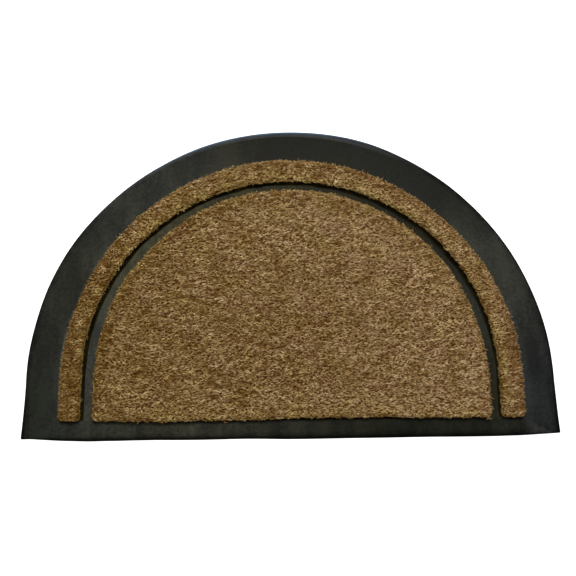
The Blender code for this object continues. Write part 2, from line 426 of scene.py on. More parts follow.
def rubber_dust_sheen_and_shade(add, x, y):
    """The rubber's colour with its painted sheen, painted shade and broad dust, before its fine dust; its
    pockets' colour, painted as shade; and how shiny and how level it is.
    """
    from_arc, from_front, turn = place_nodes(add, x, y)
    side_share = add("Math", "DIVIDE", from_arc, RIM)
    front_share = add("Math", "DIVIDE", from_front, FRONT_RIM)
    up_slope = add("Math", "MINIMUM", side_share, front_share)
    on_plateau = add("MapRange", Value=up_slope, _1=0.96, _2=1.0)
    off_shaded_edge, on_lip, shiny = lip_nodes(add, from_arc, from_front, turn)
    slopes = slope_colour(add, x, side_share, front_share, turn)
    channel = channel_colour(add, x, y, turn)
    colour = add("Mix", BLEND, _0=on_plateau, _6=slopes, _7=channel)
    # Painted shade: the lip is painted a little darker, and its outer edge darker still, in bluish grey.
    lip_shade = add("Mix", BLEND, _0=on_lip, _6=paint("#ffffff"), _7=paint("#f0f0f2"))
    edge = add("ValToRGB", stops=[(0.0, "#808288"), (1.0, "#ffffff")], Fac=off_shaded_edge)
    for shade in (lip_shade, edge):
        colour = add("Mix", TINT, _0=1.0, _6=colour, _7=shade)
    # Painted shade: the pockets are near black, a little darker towards the left.
    to_left = add("MapRange", Value=turn, _1=0.62, _2=0.75)
    pocket = add("Mix", BLEND, _0=to_left, _6=paint("#221f12"), _7=paint("#1a1708"))
    return colour, pocket, shiny, on_plateau


print("the lip shines most at", round(SHINE_TURN * 180), "degrees round the arc")

# %% Moulded black rubber
GRAIN, DUST, SMEAR, WAVE = 1.6 * MM, 6 * MM, 45 * MM, 30 * MM
VEIL = [(0.66, "#98989a"), (0.8, "#cfcfd0"), (0.94, "#ffffff")]


def make_rubber():
    """Moulded rubber: near black under a thin uneven dust and a painted sheen and shade, painted black as
    shade in the pockets, with a smoother lip.
    """
    material, add = new_material("moulded black rubber")
    place = add("TexCoord").outputs["Object"]
    x, y, z = add("SeparateXYZ", Vector=place).outputs
    dust_sheen_and_shade, pocket, shiny, on_plateau = rubber_dust_sheen_and_shade(add, x, y)
    # Painted shade: down the pockets' bevel, below the plateau, the rubber goes over to the pockets'
    # near-black colour.
    raised = add("MapRange", Value=z, _1=PLATEAU - 1.5 * MM, _2=PLATEAU - 0.2 * MM)
    sunk = add("Math", "SUBTRACT", 1.0, raised)
    pocket_shade = add("Math", "MULTIPLY", on_plateau, sunk)
    clean = add("Mix", BLEND, _0=pocket_shade, _6=dust_sheen_and_shade, _7=pocket)
    stretched = add("Mapping", Vector=place, Scale=(1.0, 0.35, 1.0))
    smears = add("TexNoise", Vector=stretched, Scale=1 / SMEAR, Detail=6.0, Roughness=0.62)
    dust_and_painted_light = add("TexNoise", Vector=place, Scale=1 / DUST, Detail=4.0, Roughness=0.7)
    bloom = add("Math", "MULTIPLY_ADD", dust_and_painted_light, 0.6, smears)
    veil = add("ValToRGB", stops=VEIL, Fac=bloom)
    colour = add("Mix", TINT, _0=1.0, _6=clean, _7=veil)
    grain = add("TexNoise", Vector=place, Scale=1 / GRAIN, Detail=2.0, Roughness=0.5)
    waves = add("TexNoise", Vector=place, Scale=1 / WAVE, Detail=1.0)
    fine = add("Bump", Height=grain, Strength=0.35, Distance=0.12 * MM)
    broad = add("Bump", Height=waves, Normal=fine, Strength=0.5, Distance=1.2 * MM)
    worn = add("MapRange", Value=smears, _1=0.35, _2=0.65, _3=0.5, _4=0.66)
    rough = add("Mix", _0=shiny, _2=worn, _3=0.3)
    gloss = add("MapRange", Value=shiny, _3=0.04, _4=0.55)
    bare = add("Math", "SUBTRACT", 1.0, pocket_shade)
    gloss = add("Math", "MULTIPLY", gloss, bare)
    shader = add("BsdfPrincipled", Base_Color=colour, Roughness=rough, Normal=broad,
                 Specular_IOR_Level=gloss)
    add("OutputMaterial", Surface=shader)
    return material


rubber = make_rubber()
print("material:", rubber.name, "with", len(rubber.node_tree.nodes), "nodes")

# %% [markdown]
# ## The rubber tray
#
# The tray is one profile carried round the outline. From the floor up it has a short upright edge,
# a rounded lip, the long slope of the rim and the flat plateau. The slope is wide at the sides
# and narrow at the front, so each point of the profile has two insets, and the two slopes meet in a
# mitre crease at each front corner, as on the real mat. Each corner of the profile is rounded
# by a short curve, because a moulded edge is never sharp.

# %% Profile of the tray
MARGIN = 3.0 * MM
EDGE_HEIGHT, BRIM_HEIGHT, LIP_HEIGHT = 1.0 * MM, 3.7 * MM, 4.95 * MM
# Each row is one corner of the profile: inset at the sides, inset at the front, height, rounding.
TRAY_PROFILE = np.array([
    (1.0 * MM, 1.0 * MM, 0.0, 0.0),
    (0.0, 0.0, 0.3 * MM, 0.25 * MM),
    (0.0, 0.0, EDGE_HEIGHT, 0.8 * MM),
    (BRIM, BRIM, BRIM_HEIGHT, 2.5 * MM),
    (LIP, LIP, LIP_HEIGHT, 4.0 * MM),
    (RIM - MARGIN, FRONT_RIM - MARGIN, PLATEAU, 2.5 * MM),
    (RIM - 0.6 * MARGIN, FRONT_RIM - 0.6 * MARGIN, PLATEAU, 0.0),
])


def rounded(profile, steps=5):
    """The profile with each inner corner replaced by a curve, as insets and heights.

    The curve is a quadratic Bezier: it leaves one side and joins the next at the rounding's length
    from the corner, and the corner itself is its handle.
    """
    places, radii = profile[:, :3], profile[:, 3]
    parts = [places[:1]]
    t = np.linspace(0, 1, steps)[:, None]
    for before, corner, after, radius in zip(places[:-2], places[1:-1], places[2:], radii[1:-1]):
        start = corner + (before - corner) * min(0.5, radius / np.linalg.norm(before - corner))
        end = corner + (after - corner) * min(0.5, radius / np.linalg.norm(after - corner))
        parts.append((1 - t) ** 2 * start + 2 * t * (1 - t) * corner + t ** 2 * end)
    return np.concatenate([*parts, places[-1:]])


tray_profile = rounded(TRAY_PROFILE)
print("tray profile:", len(tray_profile), "points, from", tray_profile[0], "to", tray_profile[-1])

# %% [markdown]
# A plain loft through the profile would be as straight as a drawing. Rubber isn't: the real front
# corners flare out sideways by a few millimetres and are drawn in from the front, and the edge wanders
# a little. All of it is added to the finished points as smooth functions of their place that fade out
# towards the pile. The pockets are then pressed in with blocks, because that keeps their edges crisp.

# %% Loft the tray
TRAY_COUNTS = (150, 5, 16, 300)
TRAY_CORNER = 2.5 * MM
FLARE_LEFT, FLARE_RIGHT = 4.1 * MM, 4.0 * MM
EDGE_WANDER, EDGE_WAVE = 0.4 * MM, 160 * MM
LIFT_WANDER, LIFT_WAVE = 0.35 * MM, 90 * MM


def side_quads(rings, size):
    """Quads that join each ring of points to the next one, for rings that are stored one after another."""
    here = np.arange(size)
    after = (here + 1) % size
    quads = np.stack([here, after, after + size, here + size], 1)
    return (quads + size * np.arange(rings - 1)[:, None, None]).reshape(-1, 4)


def at_height(outline, z):
    """Level points along an outline."""
    return np.column_stack([outline, np.full(len(outline), z)])


def closed_rings(name, rings, material):
    """A closed solid from rings of points, from the lowest up, with a flat underside and a flat top."""
    size = len(rings[0])
    base = np.arange(size)[::-1][None]
    lid = (np.arange(size) + size * (len(rings) - 1))[None]
    return mesh_object(name, np.concatenate(rings), [side_quads(len(rings), size), base, lid], material)


def settle(points):
    """Moves the tray's points as worn rubber lies: corners flared and drawn in, edges wandering a little.

    The moves along the arc's radius grow with the square of the way out over the rim, the flare with
    the way down the strip to the power 1.5, and those of the front with the way out over its rim.
    """
    x, y, z = points.T
    reach = reach_of(x, y)
    rim = np.clip((reach - RADIUS + RIM) / RIM, 0, 1) ** 2
    near_front = np.clip(1 - (y - FRONT_Y) / FRONT_RIM, 0, 1)
    wander = smooth_noise(x, y, EDGE_WAVE, 3) * EDGE_WANDER
    lift = smooth_noise(x, y, LIFT_WAVE, 5) * LIFT_WANDER * np.maximum(rim, near_front)
    away = np.stack([x, np.maximum(y - ARC_Y, 0)], 1) / np.maximum(reach, 1e-6)[:, None]
    side = np.sign(x) * np.clip((np.abs(x) - RADIUS + RIM) / RIM, 0, 1)
    strip = np.clip((ARC_Y - y) / (ARC_Y - FRONT_Y), 0, 1)
    moved = points.copy()
    moved[:, :2] += away * (rim * (edge_shift("rubber", x, y) - wander))[:, None]
    moved[:, 0] += side * strip ** 1.5 * np.where(x < 0, FLARE_LEFT, FLARE_RIGHT)
    moved[:, 1] += near_front * (front_shift("rubber", x) + wander)
    moved[:, 2] += np.where(z > 2 * MM, lift, 0)
    return moved


outlines = [half_round(RADIUS - side, FRONT_Y + front, TRAY_CORNER, TRAY_COUNTS)
            for side, front, _ in tray_profile]
rings = [settle(at_height(outline, z)) for outline, z in zip(outlines, tray_profile[:, 2])]
tray = closed_rings("mat_rubber_tray", rings, rubber)
print("tray before its pockets:", len(tray.data.polygons), "faces")

# %% Press the pockets
EDGE_BEVEL = 1.6 * MM
GAP_WANDER, GAP_WAVE = 0.12, 40 * MM


def press_pocket(tray, outline, bevel):
    """Cuts a pocket to the depth of the pile's foot, with a bevelled edge, by a block that isn't kept."""
    wide = push_out(outline, bevel)
    rings = [at_height(outline, PILE_FOOT - SEAT_GAP), at_height(outline, PLATEAU - EDGE_BEVEL),
             at_height(wide, PLATEAU), at_height(wide, 2 * PLATEAU)]
    block = closed_rings("pocket", rings, rubber)
    cut = tray.modifiers.new("pocket", "BOOLEAN")
    cut.operation = "DIFFERENCE"
    cut.object = block
    graph = bpy.context.evaluated_depsgraph_get()
    tray.data = bpy.data.meshes.new_from_object(tray.evaluated_get(graph))
    tray.modifiers.clear()
    bpy.data.objects.remove(block)


pocket_front, pocket_corner = COIR_FRONT - SEAT_GAP, COIR_CORNER + SEAT_GAP
band_pocket = arch(BAND_OUTER + SEAT_GAP, BAND_INNER, pocket_front, pocket_corner, (1, 5, 8, 120))
along_gap = np.abs(reach_of(*band_pocket.T) - BAND_INNER) < 1 * MM
uneven = 1 + GAP_WANDER * smooth_noise(*band_pocket.T, GAP_WAVE, 8)
band_pocket = push_out(band_pocket, along_gap * edge_shift("gap", *band_pocket.T) * uneven)
press_pocket(tray, band_pocket, np.where(along_gap, EDGE_BEVEL, SEAT_GAP))
field_pocket = half_round(FIELD_RADIUS + SEAT_GAP, pocket_front, pocket_corner, (1, 5, 1, 120))
press_pocket(tray, field_pocket, SEAT_GAP)
tray.data.shade_smooth()
tray.data.set_sharp_from_angle(angle=math.radians(30))
print("tray:", len(tray.data.polygons), "faces")

# %% [markdown]
# ## The coir's finish
#
# Coir is the husk fibre of the coconut: stiff, matt and round, from straw yellow through tan to dark
# brown. Each fibre has its own tone, held in an attribute, and is darker towards its root, held in another,
# for husk dust there and as painted shade among the fibres. The lower the pile stands, the darker it is
# painted, as shade. Slow changes from olive to pinkish brown run across the mat. The surface scatters
# light in all directions, so it is rough, with a little sheen.

# %% Coir fibre
# The along stops darken each fibre towards its root, for dust there and as painted shade among the fibres.
FIBRE_STOPS = {
    "tone": [(0.0, "#6a4b18"), (0.3, "#8f7245"), (0.6, "#af9771"), (0.85, "#c6b28d"), (1.0, "#ddcca8")],
    "hue": [(0.0, "#f4ecc0"), (0.5, "#fcf1de"), (1.0, "#fff0e7")],
    "along": [(0.0, "#8a7444"), (0.4, "#d0c2a4"), (0.75, "#ffffff")],
}
# Painted shade: the lower a part of the pile stands, the darker it is painted.
DEPTH_SHADE_STOPS = [(0.0, "#0f0e0b"), (0.22, "#2a2218"), (0.55, "#a8905c"), (0.95, "#ffffff")]


def make_coir():
    """Coir: a tone and a hue for each fibre, a root darkened for dust and as painted shade, and painted
    shade that deepens the lower it stands.
    """
    material, add = new_material("trimmed coir fibre")
    place = add("TexCoord").outputs["Object"]
    height = add("SeparateXYZ", Vector=place).outputs["Z"]
    level = add("MapRange", Value=height, _1=PLATEAU, _2=PILE_TOP - 1.5 * MM)
    colour = add("ValToRGB", stops=DEPTH_SHADE_STOPS, Fac=level)
    for name, stops in FIBRE_STOPS.items():
        value = add("Attribute", {"attribute_name": name}).outputs["Fac"]
        shade = add("ValToRGB", stops=stops, Fac=value)
        colour = add("Mix", TINT, _0=1.0, _6=colour, _7=shade)
    shader = add("BsdfPrincipled", Base_Color=colour, Roughness=0.72, IOR=1.5, Specular_IOR_Level=0.1)
    add("OutputMaterial", Surface=shader)
    return material


coir = make_coir()
print("material:", coir.name, "with", len(coir.node_tree.nodes), "nodes")

# %% [markdown]
# ## The body of the pile
#
# Under the loose ends the fibres stand so close that they make a solid mass. It is a lumpy slab a few
# millimetres lower than the tips, painted dark as the shade where little light gets in. For the band it
# is a profile carried along the arch. For the field it is a set of rings that shrink to a middle point.

# %% Body of the pile
BODY_TOP = PILE_TOP - 5.5 * MM
# Each row is one ring up the body's side: how far it lies inside the foot, and its height.
BODY_SIDE = np.array([
    (0.3 * MM, PILE_FOOT),
    (0.6 * MM, PLATEAU + 0.4 * MM),
    (1.0 * MM, 10.0 * MM),
    (1.0 * MM, 13.0 * MM),
    (2.2 * MM, BODY_TOP),
])
LUMP = 0.8 * MM


def lumps(x, y):
    """The rise and fall of the trimmed surface: waves 18 mm long with finer ones 8 mm long on them."""
    return 0.6 * smooth_noise(x, y, 18 * MM, 11) + 0.4 * smooth_noise(x, y, 8 * MM, 12)


def give(obj, **values):
    """Stores one number for each point of a mesh under each name, for its material to read."""
    for name, numbers in values.items():
        layer = obj.data.attributes.new(name, "FLOAT", "POINT")
        layer.data.foreach_set("value", np.broadcast_to(numbers, len(obj.data.vertices)).astype(np.float32))


def field_body(name, outline, centre, shares):
    """A closed slab: rings up the side, then rings that shrink to a middle point, and a fan underneath."""
    size = len(outline)
    side = [at_height(push_out(outline, -inset), z) for inset, z in BODY_SIDE]
    edge = side[-1][:, :2]
    top = [at_height(centre + (edge - centre) * share, BODY_TOP) for share in shares]
    for ring in top:
        ring[:, 2] += lumps(*ring[:, :2].T) * LUMP
    rings = [*side, *top]
    points = np.concatenate([*rings, [(*centre, PILE_FOOT), (*centre, BODY_TOP)]])
    here, after = np.arange(size), (np.arange(size) + 1) % size
    last = size * (len(rings) - 1)
    low, high = (np.full(size, len(points) - k) for k in (2, 1))
    fans = [np.stack([after, here, low], 1), np.stack([here + last, after + last, high], 1)]
    return mesh_object(name, points, [side_quads(len(rings), size), *fans], coir)


def band_body(name, steps):
    """A closed bar carried along the arch's middle line, narrower where its feet are rounded."""
    leg = ARC_Y - COIR_FRONT
    middle, half = (BAND_OUTER + BAND_INNER) / 2, (BAND_OUTER - BAND_INNER) / 2
    length = 2 * leg + math.pi * middle
    path = np.linspace(0, length, steps)
    angle = np.clip((path - leg) / middle, 0, math.pi)
    below = np.maximum(leg - path, 0) + np.maximum(path - length + leg, 0)
    spine = np.stack([middle * np.cos(angle), ARC_Y + middle * np.sin(angle) - below], 1)
    across = np.stack([np.cos(angle), np.sin(angle)], 1)
    from_end = np.minimum(np.minimum(path, length - path), COIR_CORNER)
    narrowed = COIR_CORNER - np.sqrt(COIR_CORNER ** 2 - (COIR_CORNER - from_end) ** 2)
    outer, inner = (np.minimum(edge_shift(side, *spine.T), 0)[:, None] for side in ("outer", "inner"))
    outer_side = half - BODY_SIDE[:, 0] + outer
    inner_side = -half + BODY_SIDE[::-1, 0] - inner
    ridge = outer_side[:, -1:] + (inner_side[:, :1] - outer_side[:, -1:]) * np.linspace(0.1, 0.9, 9)
    offsets = np.concatenate([outer_side, ridge, inner_side], axis=1)
    heights = np.concatenate([BODY_SIDE[:, 1], np.full(9, BODY_TOP), BODY_SIDE[::-1, 1]])
    squeeze = (half - narrowed)[:, None] / half
    size = len(heights)
    points = np.zeros((steps, size, 3))
    points[:, :, :2] = spine[:, None] + across[:, None] * (offsets * squeeze)[:, :, None]
    points[:, :, 2] = heights
    points[:, :, 2] += np.where(heights >= BODY_TOP, lumps(points[:, :, 0], points[:, :, 1]) * LUMP, 0)
    ends = [np.arange(size)[None], (np.arange(size)[::-1] + size * (steps - 1))[None]]
    quads = side_quads(steps, size)[:, ::-1]
    return mesh_object(name, points.reshape(-1, 3), [quads, *ends], coir)


field_outline = half_round(FIELD_RADIUS, COIR_FRONT, COIR_CORNER, (110, 4, 12, 170))
field_foot = push_out(field_outline, np.minimum(lean_round(field_outline), 0))
field_mass = field_body("mat_coir_field", field_foot, np.array([0.0, ARC_Y]), np.linspace(0.97, 0.03, 42))
band_mass = band_body("mat_coir_band", 420)
for body in (field_mass, band_mass):
    # Painted shade: the masses get a low tone and a low root value, so they are painted darker.
    give(body, tone=0.3, hue=0.3, along=0.25)
print("bodies:", len(field_mass.data.polygons), "and", len(band_mass.data.polygons), "faces")

# %% [markdown]
# ## The fibres
#
# A trimmed fibre shows as a short bent splinter, so each is the smallest closed form that can bend:
# a root point, a triangle round its middle, and a tip point, which makes six faces. Fibres grow in
# locks, and all the fibres of a lock lean much the same way, with a dark gap between one lock
# and the next. The tips are placed first, on the trimmed surface, and each root is found by going
# back down along the fibre.

# %% Fibre meshes
BEND_SHARE = 0.58
# The faces of a splinter by its points: 0 is the root, 1 to 3 stand round its middle and 4 is the tip.
SPLINTER = np.array([(0, 2, 1), (0, 3, 2), (0, 1, 3), (4, 1, 2), (4, 2, 3), (4, 3, 1)])


def fibre_mesh(tips, directions, lengths, widths, bends):
    """Points and faces of bent splinters, five points and six faces to a fibre.

    The root lies a length back from the tip. The middle triangle lies at BEND_SHARE of the way, moved
    by the bend, and its three corners stand round the fibre's direction at a third of a turn each.
    """
    roots = tips - directions * lengths[:, None]
    middles = roots + BEND_SHARE * (tips - roots) + bends
    across = unit(np.cross(directions, np.roll(directions, 1, axis=1) + 0.3))
    other = np.cross(directions, across)
    turn = (np.arange(3) * 2 * np.pi / 3)[:, None]
    ring = across[:, None] * np.cos(turn) + other[:, None] * np.sin(turn)
    corners = middles[:, None] + ring * widths[:, None, None] / 2
    points = np.concatenate([roots[:, None], corners, tips[:, None]], 1)
    faces = SPLINTER + 5 * np.arange(len(tips))[:, None, None]
    return points.reshape(-1, 3), faces.reshape(-1, 3)


print("a splinter has", len(SPLINTER), "faces")

# %% How far inside the pile a place lies
def rounded_corner(side, front):
    """The smaller of two distances from straight edges that meet at a corner rounded as the pile's are."""
    near = (side < COIR_CORNER) & (front < COIR_CORNER)
    in_corner = COIR_CORNER - np.hypot(COIR_CORNER - side, COIR_CORNER - front)
    return np.where(near, in_corner, np.minimum(side, front))


def leans(x, y, names, at_foot):
    """How far the named sides and the front lean out at each place.

    A foot may be drawn in but never leans out.
    """
    shifts = [edge_shift(name, x, y) for name in names] + [front_shift("pile", x)]
    return [np.minimum(shift, 0) for shift in shifts] if at_foot else shifts


def field_depth(x, y, at_foot=False):
    """How far a place lies inside the edge of the field's tips, or inside its foot."""
    side, front = leans(x, y, ["field"], at_foot)
    return rounded_corner(FIELD_RADIUS + side - reach_of(x, y), y - COIR_FRONT + front)


def band_depth(x, y, at_foot=False):
    """How far a place lies inside the edge of the band's tips, or inside its foot."""
    reach = reach_of(x, y)
    outer, inner, front = leans(x, y, ["outer", "inner"], at_foot)
    side = np.minimum(BAND_OUTER + outer - reach, reach - BAND_INNER + inner)
    return rounded_corner(side, y - COIR_FRONT + front)


def spill(x, y):
    """How far single tips reach out past the edge: unevenly, and in ragged clumps along the front."""
    uneven = 0.8 * smooth_noise(x, y, 8 * MM, 61) + 0.6 * smooth_noise(x, y, 24 * MM, 62)
    at_front = np.where(np.abs(x) < FIELD_RADIUS, 1.2, 0.5)
    ragged = np.where(y < COIR_FRONT + COIR_CORNER, at_front, 0.9)
    return np.maximum(1.5 + uneven * ragged, 0.1) * MM


def away_from_middle(depth, x, y, step=0.5 * MM):
    """The level direction in which the depth falls fastest, which points out over the nearest edge."""
    slope = np.stack([depth(x + step, y) - depth(x - step, y), depth(x, y + step) - depth(x, y - step)], 1)
    return -slope / np.maximum(np.linalg.norm(slope, axis=1, keepdims=True), 1e-9)


print("the field is", round(field_depth(0.0, ARC_Y) / MM), "mm deep at the arc's centre")

# %% Locks and their fibres
LOCK_WIDTH = 1.3 * MM


def open_out(tips, directions, lengths, bends, tones, hues, fibres, random):
    """Each lock as separate fibres side by side across it, each with its own small turn, length and tone.

    It gives back the arrays that fibre_piece takes: tips, directions, lengths, widths, bends, tones, hues.
    """
    whose = np.repeat(np.arange(len(tips)), fibres)
    total = len(whose)
    place = np.tile((np.arange(fibres) + 0.5) / fibres - 0.5, len(tips))[:, None]
    across = unit(np.cross(directions, random.normal(0, 0.25, (len(tips), 3)) + (0.0, 0.0, 1.0)))[whose]
    slipped = random.normal(0, 0.5, (total, 1)) * MM
    fibre_tips = tips[whose] + across * place * LOCK_WIDTH + directions[whose] * slipped
    fibre_directions = unit(directions[whose] + across * place * 0.16 + random.normal(0, 0.05, (total, 3)))
    fibre_lengths = lengths[whose] * random.uniform(0.85, 1.1, total)
    fibre_bends = (bends[whose] + random.normal(0, 0.035, (total, 3))) * fibre_lengths[:, None]
    widths = random.uniform(0.55, 1.0, total) * MM
    fibre_tones = np.clip(tones[whose] + random.normal(0, 0.1, total), 0, 1)
    return fibre_tips, fibre_directions, fibre_lengths, widths, fibre_bends, fibre_tones, hues[whose]


print(f"a lock is {LOCK_WIDTH / MM:.1f} mm wide")

# %% Tones and hues over the mat
# On the scale of across_band this is the middle of the channel, so places past it are on the band.
MID_CHANNEL = -1.5


def across_band(x, y):
    """-1 along the band's inner edge and 1 along its outer edge; less than -1 over the field."""
    return 2 * (reach_of(x, y) - BAND_INNER) / (BAND_OUTER - BAND_INNER) - 1


def hill(value, middle, width):
    """1 at the middle and falling away smoothly: the exponential of minus the squared way out in widths."""
    return np.exp(-((value - middle) / width) ** 2)


def field_tone(x, y):
    """How much paler the field is than its mean: the sum of a slope across it and of five soft patches.

    It is paler to the right, along its front and in a ring well inside its edge, and darker at the far
    left, over its middle and in a narrow ring near its edge, which is weaker at the right.
    """
    inset = FIELD_RADIUS - reach_of(x, y)
    slope = 0.05 * x / RADIUS - 0.12 * np.clip(-x / RADIUS, 0, 0.5) + 0.04
    at_front = 0.05 * hill(y, COIR_FRONT, 50 * MM)
    middle = 0.09 * hill(np.hypot(x, y - ARC_Y - 60 * MM), 0, 150 * MM)
    dark_ring = 0.18 * hill(inset, 12 * MM, 9 * MM) * np.clip((250 * MM - x) / (150 * MM), 0.45, 1)
    pale_ring = 0.11 * hill(inset, 55 * MM, 26 * MM) * hill(x, 50 * MM, 160 * MM)
    return slope + at_front - middle - dark_ring + pale_ring


def band_tone(x, y):
    """How much paler the band is than the field's mean, from the table: its tone and its change across."""
    return edge_value("tone", x, y) + edge_value("cross", x, y) * across_band(x, y)


def hue_at(x, y, inwards, random):
    """0 for olive yellow near the rims, 1 for pinkish brown, with slow changes across the mat."""
    near_rim = np.exp(-np.maximum(inwards, 0) / (12 * MM))
    slow = 0.48 + 0.28 * x / RADIUS + 0.22 * smooth_noise(x, y, 60 * MM, 31)
    place = across_band(x, y)
    in_band = np.where(place > MID_CHANNEL, 0.32 * place, 0)
    return np.clip(slow - 0.3 * near_rim + in_band + random.normal(0, 0.13, len(x)), 0, 1)


print(f"the field's tone at the arc's centre: {field_tone(0.0, ARC_Y):.3f}")

# %% [markdown]
# On top the locks lie well over, mostly from side to side, and neighbours lie much the same way, so
# the eye sees short wavy streaks. The trimmed surface has small pits, where locks have parted and it
# is dark, and the fibres there are painted darker as shade. Noise that is stretched from side to side
# sets the height and the tone of neighbours alike.

# %% Locks over the top
LOCK_PITCH = 2.3 * MM
EDGE_REACH = 3.2 * MM
ROOT_DEPTH = 7.5 * MM
# The wall's fibres get a lower tone, as painted shade.
MEAN_TONE, SHADED_WALL_TONE = 0.59, 0.4
# How far apart the waves are in which the locks turn, and in which they rise, fall and part.
TURNS, ROWS, CLUMPS, SWELLS, PITS = 16 * MM, 5.2 * MM, 9 * MM, 20 * MM, 3.6 * MM


def lock_places(depth, random):
    """Places on a triangular grid, each moved a little, as far out as the tips spill over the edge."""
    rows = np.arange(FRONT_Y, FRONT_Y + 2 * RADIUS, LOCK_PITCH * math.sqrt(0.75))
    columns = np.arange(-RADIUS, RADIUS, LOCK_PITCH)
    x, y = (grid.ravel() for grid in np.meshgrid(columns, rows))
    x = x + np.repeat(np.arange(len(rows)) % 2, len(columns)) * LOCK_PITCH / 2
    x, y = (value + random.uniform(-0.45, 0.45, value.size) * LOCK_PITCH for value in (x, y))
    inside = depth(x, y) > -spill(x, y) + random.uniform(0, 0.8, x.size) * MM
    return x[inside], y[inside]


def lie_of_locks(depth, x, y, edge, seed, random):
    """Directions and lengths of locks that lie from side to side, and turn out over the edge beside it.

    A lock whose root would come out through the side of the pile lies the other way round.
    """
    count = len(x)
    turn = 0.12 + smooth_noise(x, y, TURNS, seed + 2) * 0.26 + random.normal(0, 0.34, count)
    side = smooth_noise(x, y, 35 * MM, seed + 3) + random.normal(0, 2.5, count)
    heading = turn + np.where(side > 0, 0, math.pi)
    slant = np.clip(random.normal(1.15, 0.2, count), 0.3, 1.45)
    flat = np.stack([np.cos(heading), np.sin(heading)], 1)
    flat = flat * (1 - 0.3 * edge) + away_from_middle(depth, x, y) * 0.3 * edge
    directions = unit(np.column_stack([flat * np.sin(slant)[:, None], np.cos(slant)]))
    lengths = random.uniform(6.5, 11.5, count) * MM
    lengths = np.minimum(lengths, ROOT_DEPTH / np.maximum(directions[:, 2], 0.2))
    roots = np.stack([x, y], 1) - directions[:, :2] * lengths[:, None]
    directions[depth(*roots.T, True) < 0.5 * MM, :2] *= -1
    return directions, lengths


def top_locks(depth, seed):
    """Fibres whose tips cover the trimmed surface, in rows, clumps and swells that run across the mat."""
    random = np.random.default_rng(seed)
    x, y = lock_places(depth, random)
    inwards, count, climb = depth(x, y), len(x), y - 0.2 * x
    edge = np.exp(-np.maximum(inwards, 0) / EDGE_REACH)[:, None]
    directions, lengths = lie_of_locks(depth, x, y, edge, seed, random)
    row = smooth_noise(x / 2.6, climb, ROWS, seed + 6)
    clump = smooth_noise(x / 3, climb, CLUMPS, seed + 9)
    swell = smooth_noise(x / 3, climb, SWELLS, seed + 8)
    pits = np.clip(smooth_noise(x / 1.5, y, PITS, seed + 4) - 0.4, 0, 1) * 2.4
    rise = 0.5 * row + 0.4 * clump - pits + random.normal(0, 0.6, count)
    z = PILE_TOP - 0.5 * MM + lumps(x, y) * LUMP + rise * MM - 1.2 * MM * edge[:, 0] ** 2
    side = np.stack([-directions[:, 1], directions[:, 0]], 1)
    curl = random.normal(0, 0.17, count)[:, None]
    bends = np.column_stack([side * curl, random.uniform(0.0, 0.12, count)])
    patches = 0.07 * smooth_noise(x, y, 70 * MM, seed + 5)
    patches += 0.05 * smooth_noise(x / 2, climb, 24 * MM, seed + 7)
    patches += np.where(across_band(x, y) > MID_CHANNEL, band_tone(x, y), field_tone(x, y))
    # Painted shade: the fibres in pits and at the pile's edge are painted darker.
    waves = 0.22 * row + 0.22 * clump + 0.12 * swell - 0.14 * pits - 0.03 * edge[:, 0]
    tones = MEAN_TONE + random.normal(0, 0.11, count) + patches + waves
    hues = hue_at(x, y, inwards, random)
    return open_out(np.column_stack([x, y, z]), directions, lengths, bends, tones, hues, 2, random)


# %% [markdown]
# Round the rim the pile is seen from the side. There the locks start inside the mass at all heights
# and lean out and up, so the wall is a brush with a ragged lower edge and not a smooth band.

# %% Locks round the rim
WALL_PITCH = 1.5 * MM


def rim_locks(outline, seed):
    """Fibres along the side wall, which stick out further the higher they end."""
    random = np.random.default_rng(seed)
    leaning = lean_round(outline)
    outline = push_out(outline, np.minimum(leaning, 0))
    steps = np.linalg.norm(np.roll(outline, -1, axis=0) - outline, axis=1)
    travelled = np.concatenate([[0], np.cumsum(steps)])
    count = int(travelled[-1] * (PILE_TOP - PLATEAU) / WALL_PITCH ** 2)
    where = random.uniform(0, travelled[-1], count)

    def between_points(values):
        """Values of the outline's points, read at each place along it."""
        return np.interp(where, travelled, np.append(values, values[0]))

    x, y = (between_points(column) for column in outline.T)
    out = unit(np.stack([between_points(column) for column in outward(outline).T], 1))
    height = random.random(count) ** 0.7
    z = PLATEAU + 1.5 * MM + height * (PILE_TOP - PLATEAU - 3.6 * MM)
    further = spill(x, y) + between_points(np.maximum(leaning, 0)) + 0.6 * MM
    past = height ** 2 * further + random.normal(-0.5, 0.3, count) * MM
    stray = random.exponential(0.9, count) * height * (y > COIR_FRONT + COIR_CORNER)
    tips = np.column_stack([np.stack([x, y], 1) + out * (past + stray * MM)[:, None], z])
    along = np.stack([-out[:, 1], out[:, 0]], 1) * random.normal(0, 0.4, count)[:, None]
    slope = (random.uniform(0.2, 0.9, count) + 0.9 * stray)[:, None]
    directions = unit(np.column_stack([out * slope + along, np.ones(count)]))
    lengths = np.minimum(random.uniform(5.0, 9.0, count) * MM, (z - PILE_FOOT) / directions[:, 2])
    bends = random.normal(0, 1, (count, 3)) * 0.08
    # Painted shade: the wall's fibres are darker than the top's, and darker still the lower they end.
    tones = SHADED_WALL_TONE + 0.1 * height + random.normal(0, 0.17, count)
    hues = hue_at(x, y, np.zeros(count), random)
    return open_out(tips, directions, lengths, bends, tones, hues, 1, random)


